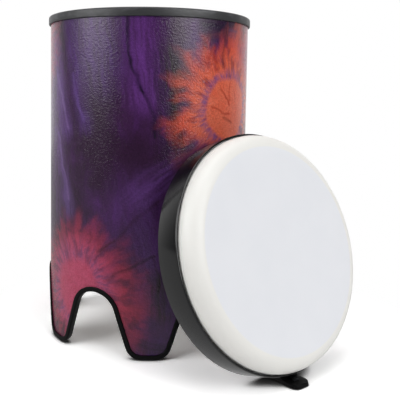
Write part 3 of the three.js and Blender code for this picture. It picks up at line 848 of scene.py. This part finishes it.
def shoulder(radius, steps=20):
    """A quarter round about the middle of the film's shoulder, from its side up to its top."""
    arc = [pi / 2 * i / steps for i in range(steps + 1)]
    return [Vector((flat_radius + radius * cos(a), shoulder_base + radius * sin(a))) for a in arc]


ring_outline = [
    Vector((shelf_inside, ring_low)), Vector((rebate_radius, ring_low)),
    Vector((rebate_radius, rebate_top)), Vector((flat_radius + ring_round, rebate_top)),
]
ring_outline += shoulder(ring_round, steps=16)
ring_outline += [
    Vector((flat_radius - 0.7 * ring_lip, ring_top - 0.3 * ring_lip)),
    Vector((flat_radius - ring_lip, ring_top - ring_lip)),
]
bearing = turned("bearing_ring_fibre", ring_outline, head_place, fibre)
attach(bearing, "head")
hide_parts("bearing_ring")


# The flesh hoop: a rolled aluminium channel, closed in between the film, the bearing ring and
# the hoop. The film's edge is set in it with resin.
alloy, alloy_tree, alloy_shader = new_finish("rolled_aluminium")
alloy_coords = add(alloy_tree, "ShaderNodeTexCoord", {})
# Rolling marks about 1 mm apart
rolling = add(alloy_tree, "ShaderNodeTexNoise", {
    "Vector": alloy_coords.outputs["Object"], "Scale": 1 / (1 * MM), "Detail": 3.0,
})
alloy_tone = add(alloy_tree, "ShaderNodeMix", {
    0: rolling, 6: linear("B4B6B9"), 7: linear("C6C8CA"),
}, data_type="RGBA")
alloy_rough = add(alloy_tree, "ShaderNodeMapRange", {"Value": rolling, 1: 0.3, 2: 0.7, 3: 0.32, 4: 0.46})
feed(alloy_tree, alloy_shader, {
    "Base Color": alloy_tone.outputs[2], "Roughness": alloy_rough, "Metallic": 1.0,
})
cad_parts["flesh_hoop"].data.materials.clear()
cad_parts["flesh_hoop"].data.materials.append(alloy)


# The film: milk-white polyester, formed to a flat face, a round shoulder and a collar. Its face
# has a fine sprayed coat that gives it a satin look.
collar_low = 29.3
face_rings = 12
coat_end = 145.0
bare_from = 147.5

film, film_tree, film_shader = new_finish("coated_white_polyester_film")
film_coords = add(film_tree, "ShaderNodeTexCoord", {})
# The sprayed coat's grit is about 0.3 mm; it is drawn at 1.2 mm so that it shows. Thin and thick
# places of the coat are about 60 mm across.
grit = add(film_tree, "ShaderNodeTexNoise", {
    "Vector": film_coords.outputs["Object"], "Scale": 1 / (1.2 * MM), "Detail": 2.0,
})
coat = add(film_tree, "ShaderNodeTexNoise", {
    "Vector": film_coords.outputs["Object"], "Scale": 1 / (60 * MM), "Detail": 2.0,
})
coat_tone = add(film_tree, "ShaderNodeMix", {
    0: coat, 6: linear("DFE1E6"), 7: linear("E5E6EA"),
}, data_type="RGBA")
# The coat covers the flat face and ends where the shoulder begins, which is bare; the
# shoulder's warmer tone there is painted warm light
on_head = add(film_tree, "ShaderNodeMapping", {
    "Vector": film_coords.outputs["Object"], "Location": head_centre, "Rotation": head_place.to_euler(),
}, vector_type="TEXTURE")
off_axis = add(film_tree, "ShaderNodeVectorMath", {0: on_head, 1: (1, 1, 0)}, operation="MULTIPLY")
from_axis = add(film_tree, "ShaderNodeVectorMath", {0: off_axis}, operation="LENGTH")
bare_shoulder_painted_warmth = add(film_tree, "ShaderNodeMapRange", {
    "Value": from_axis.outputs["Value"], 1: coat_end * MM, 2: bare_from * MM,
}, interpolation_type="SMOOTHSTEP")
# The shoulder's warmer colour is painted warm light
film_tone = add(film_tree, "ShaderNodeMix", {
    0: bare_shoulder_painted_warmth, 6: coat_tone.outputs[2], 7: linear("E6E5E1"),
}, data_type="RGBA")
film_rough = add(film_tree, "ShaderNodeMapRange", {"Value": grit, 1: 0.3, 2: 0.7, 3: 0.38, 4: 0.5})
film_bump = add(film_tree, "ShaderNodeBump", {"Strength": 0.06, "Distance": 0.1 * MM, "Height": grit})
feed(film_tree, film_shader, {
    "Base Color": film_tone.outputs[2], "Roughness": film_rough, "Normal": film_bump,
})

face_radii = [flat_radius * i / face_rings for i in range(face_rings)]
film_outline = [Vector((radius, film_top - film_thickness)) for radius in face_radii]
film_outline += reversed(shoulder(shoulder_round - film_thickness))
film_outline += [Vector((film_radius - film_thickness, collar_low)), Vector((film_radius, collar_low))]
film_outline += shoulder(shoulder_round)
film_outline += [Vector((radius, film_top)) for radius in reversed(face_radii)]
skin = turned("drum_head_film", film_outline, head_place, film)
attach(skin, "head")
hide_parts("head_film")


# The lever: a black moulding that rocks on its pin in the hoop's window. Pressing its finger
# plate towards the film swings its hook out from under the rim trim.
edge_round = 0.45

lever_plastic, lever_tree, lever_shader = new_finish("moulded_black_nylon")
lever_coords = add(lever_tree, "ShaderNodeTexCoord", {})
# A spark-eroded mould leaves a grain of about 0.8 mm
spark = add(lever_tree, "ShaderNodeTexNoise", {
    "Vector": lever_coords.outputs["Object"], "Scale": 1 / (0.8 * MM), "Detail": 3.0,
})
lever_tone = add(lever_tree, "ShaderNodeMix", {
    0: spark, 6: linear("060607"), 7: linear("0C0C0D"),
}, data_type="RGBA")
lever_rough = add(lever_tree, "ShaderNodeMapRange", {"Value": spark, 1: 0.3, 2: 0.7, 3: 0.34, 4: 0.46})
lever_bump = add(lever_tree, "ShaderNodeBump", {"Strength": 0.2, "Distance": 0.1 * MM, "Height": spark})
feed(lever_tree, lever_shader, {
    "Base Color": lever_tone.outputs[2], "Roughness": lever_rough, "Normal": lever_bump,
    "Specular IOR Level": 0.12,
})

lever_shape = bmesh.new()
lever_shape.from_mesh(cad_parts["latch_lever"].data)
bmesh.ops.remove_doubles(lever_shape, verts=lever_shape.verts, dist=0.005 * MM)
bmesh.ops.dissolve_limit(
    lever_shape, angle_limit=radians(2), verts=lever_shape.verts, edges=lever_shape.edges,
)
sharp = [e for e in lever_shape.edges if e.is_manifold and e.calc_face_angle() > radians(25)]
bmesh.ops.bevel(
    lever_shape, geom=sharp, offset=edge_round * MM, segments=3, profile=0.5,
    affect="EDGES", clamp_overlap=True,
)
lever_mesh = bpy.data.meshes.new("release_lever")
lever_shape.to_mesh(lever_mesh)
lever_shape.free()
lever_mesh.materials.append(lever_plastic)
lever = bpy.data.objects.new("release_lever", lever_mesh)
bpy.context.scene.collection.objects.link(lever)
set_shading(lever_mesh)
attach(lever, "latch")
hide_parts("latch_lever")


# The lever's pin and its leaf spring: bright ground rod pressed into the hoop, and a bent strip of
# oil-blued spring steel with its root in the hoop's slit. The leaf holds the finger plate out.
lever_splay = radians(17.7)
spring_end = 42.95
spring_free = 178.83
spring_bend = hoop_radius + spring_thickness
spring_slant = spring_thickness / cos(lever_splay)

steels = {}
for steel_name, dark, light in (
    ("ground_steel_rod", "9C9EA1", "B2B4B6"),
    ("spring_steel_strip", "36383C", "46484C"),
):
    steel, steel_tree, steel_shader = new_finish(steel_name)
    steel_coords = add(steel_tree, "ShaderNodeTexCoord", {})
    # Grinding marks about 0.4 mm apart, bright on the rod and dark on the blued strip
    grinding = add(steel_tree, "ShaderNodeTexNoise", {
        "Vector": steel_coords.outputs["Object"], "Scale": 1 / (0.4 * MM), "Detail": 2.0,
    })
    steel_tone = add(steel_tree, "ShaderNodeMix", {
        0: grinding, 6: linear(dark), 7: linear(light),
    }, data_type="RGBA")
    steel_rough = add(steel_tree, "ShaderNodeMapRange", {"Value": grinding, 1: 0.3, 2: 0.7, 3: 0.25, 4: 0.4})
    feed(steel_tree, steel_shader, {
        "Base Color": steel_tone.outputs[2], "Roughness": steel_rough, "Metallic": 1.0,
    })
    steels[steel_name] = steel
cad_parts["latch_pin"].data.materials.clear()
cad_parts["latch_pin"].data.materials.append(steels["ground_steel_rod"])

leaf_outline = filleted((
    (spring_root, spring_low, 0.2), (spring_bend + spring_slant, spring_low, 1.2),
    (spring_free + spring_slant, spring_end, 0.3), (spring_free, spring_end, 0.3),
    (spring_bend, spring_top, 0.4), (spring_root, spring_top, 0.2),
))
leaf_size = len(leaf_outline)
leaf_points = [
    latch_place @ (Vector((radial, side, axial)) * MM)
    for side in (-spring_width / 2, spring_width / 2) for radial, axial in leaf_outline
]
leaf_faces = [tuple(range(leaf_size)), tuple(range(leaf_size, 2 * leaf_size))]
for k in range(leaf_size):
    n = (k + 1) % leaf_size
    leaf_faces.append((k, n, leaf_size + n, leaf_size + k))
leaf = new_piece("lever_leaf_spring", leaf_points, leaf_faces, steels["spring_steel_strip"])
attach(leaf, "head")
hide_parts("latch_spring")
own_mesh(leaf)


# The studio: white paper under the drum with the drum's soft shadow on it, white paper behind and
# beside it, two softboxes, a top light, and the photograph's camera.
paper_side = 3.0
paper_front = -0.7
paper_back = 3.0
contact_reach = 16 * MM
shadow_end = 240 * MM
white_from = 420 * MM

floor_mesh = bpy.data.meshes.new("studio_floor")
floor_mesh.from_pydata([
    (-paper_side, paper_front, 0), (paper_side, paper_front, 0),
    (paper_side, paper_back, 0), (-paper_side, paper_back, 0),
], [], [(0, 1, 2, 3)])
floor = bpy.data.objects.new("studio_floor", floor_mesh)
bpy.context.scene.collection.objects.link(floor)
paper, paper_tree, paper_shader = new_finish("white_studio_paper")
feed(paper_tree, paper_shader, {"Base Color": linear("E8E8E8"), "Roughness": 0.9})
# Seen by the camera, the lit paper is exposed almost to white and keeps the object's traced shadow;
# a painted contact shade, from how open the paper is within 16 mm, darkens it beside what stands there
near_open = add(paper_tree, "ShaderNodeAmbientOcclusion", {"Distance": contact_reach}, samples=16)
exposure_and_painted_contact_shade = add(paper_tree, "ShaderNodeMapRange", {
    "Value": near_open.outputs["AO"], 1: 0.3, 2: 0.92, 3: 0.1, 4: 1.45,
}, interpolation_type="SMOOTHSTEP")
exposed = add(paper_tree, "ShaderNodeBsdfDiffuse", {"Color": exposure_and_painted_contact_shade})
# Away from the object, from 240 mm to 420 mm off the middle, the paper turns white all over
paper_coords = add(paper_tree, "ShaderNodeTexCoord", {})
off_middle = add(paper_tree, "ShaderNodeVectorMath", {0: paper_coords.outputs["Object"]}, operation="LENGTH")
away_level = add(paper_tree, "ShaderNodeMapRange", {
    "Value": off_middle.outputs["Value"], 1: shadow_end, 2: white_from,
}, interpolation_type="SMOOTHSTEP")
white = add(paper_tree, "ShaderNodeEmission", {"Color": (1, 1, 1, 1), "Strength": 1.0})
seen_paper = add(paper_tree, "ShaderNodeMixShader", {0: away_level, 1: exposed, 2: white})
mirrored_paper = add(paper_tree, "ShaderNodeEmission", {"Color": (1, 1, 1, 1), "Strength": 0.45})
path = add(paper_tree, "ShaderNodeLightPath", {})
mirror_ray = add(paper_tree, "ShaderNodeMath", {
    0: path.outputs["Is Glossy Ray"], 1: path.outputs["Is Transmission Ray"],
}, operation="MAXIMUM")
lit_or_mirrored = add(paper_tree, "ShaderNodeMixShader", {0: mirror_ray, 1: paper_shader, 2: mirrored_paper})
paper_mix = add(paper_tree, "ShaderNodeMixShader", {
    0: path.outputs["Is Camera Ray"], 1: lit_or_mirrored, 2: seen_paper,
})
feed(paper_tree, paper_tree.nodes["Material Output"], {"Surface": paper_mix})
floor_mesh.materials.append(paper)

world = bpy.data.worlds.new("studio")
bpy.context.scene.world = world
world.use_nodes = True
sky = world.node_tree
sky_path = add(sky, "ShaderNodeLightPath", {})
sky_coords = add(sky, "ShaderNodeTexCoord", {})
sky_apart = add(sky, "ShaderNodeSeparateXYZ", {0: sky_coords.outputs["Generated"]})
# The room behind the camera is dim, and the paper behind and beside the drum is white
paper_level = add(sky, "ShaderNodeMapRange", {
    "Value": sky_apart.outputs["Y"], 1: 0.05, 2: 0.95, 3: 0.08, 4: 1.0,
}, interpolation_type="SMOOTHSTEP")
light_level = add(sky, "ShaderNodeMath", {0: paper_level, 1: 0.85}, operation="MULTIPLY")
mirrored = add(sky, "ShaderNodeMix", {0: sky_path.outputs["Is Glossy Ray"], 2: light_level, 3: paper_level})
shown = add(sky, "ShaderNodeMath", {
    0: sky_path.outputs["Is Camera Ray"], 1: sky_path.outputs["Is Transmission Ray"],
}, operation="MAXIMUM")
sky_strength = add(sky, "ShaderNodeMix", {0: shown, 2: mirrored, 3: 1.0})
feed(sky, sky.nodes["Background"], {"Color": (1, 1, 1, 1), "Strength": sky_strength})

# Each softbox: its bearing from the front and its lift in degrees, its distance from the drum's
# middle, width and height in m, and its power in W
lamp_target = Vector((0, 0, 0.3))
for lamp_name, bearing_deg, lift_deg, away, width, tall, power in (
    ("left_softbox", -66, 25.5, 1.9, 1.4, 1.2, 23),
    ("right_softbox", 42, 25.5, 1.9, 1.3, 1.2, 24),
    ("top_softbox", 0, 80, 2.0, 1.4, 1.4, 17),
):
    lamp = bpy.data.lights.new(lamp_name, "AREA")
    lamp.shape = "RECTANGLE"
    lamp.size = width
    lamp.size_y = tall
    lamp.energy = power
    light = bpy.data.objects.new(lamp_name, lamp)
    lift = radians(lift_deg)
    bearing_from_front = radians(bearing_deg)
    spot = lamp_target + away * Vector((
        cos(lift) * sin(bearing_from_front), -cos(lift) * cos(bearing_from_front), sin(lift),
    ))
    light.location = spot
    light.rotation_euler = (lamp_target - spot).to_track_quat("-Z", "Y").to_euler()
    bpy.context.scene.collection.objects.link(light)

# The camera is fitted to the photograph, which is a crop, so its picture is shifted
camera_place = shell_axis + Vector((-0.02608, -1.0446, 0.39759))
camera_turn = Matrix.Rotation(radians(-1.851), 4, "Z")
camera_nod = Matrix.Rotation(radians(90 - 4.421), 4, "X")
camera_roll = Matrix.Rotation(radians(0.738), 4, "Z")
lens = bpy.data.cameras.new("photo_camera")
lens.sensor_width = 36.0
lens.lens = 54.813
lens.shift_x = 0.1185
lens.shift_y = -0.15
lens.clip_start = 0.01
camera = bpy.data.objects.new("photo_camera", lens)
bpy.context.scene.collection.objects.link(camera)
camera.matrix_world = Matrix.Translation(camera_place) @ camera_turn @ camera_nod @ camera_roll
bpy.context.scene.camera = camera
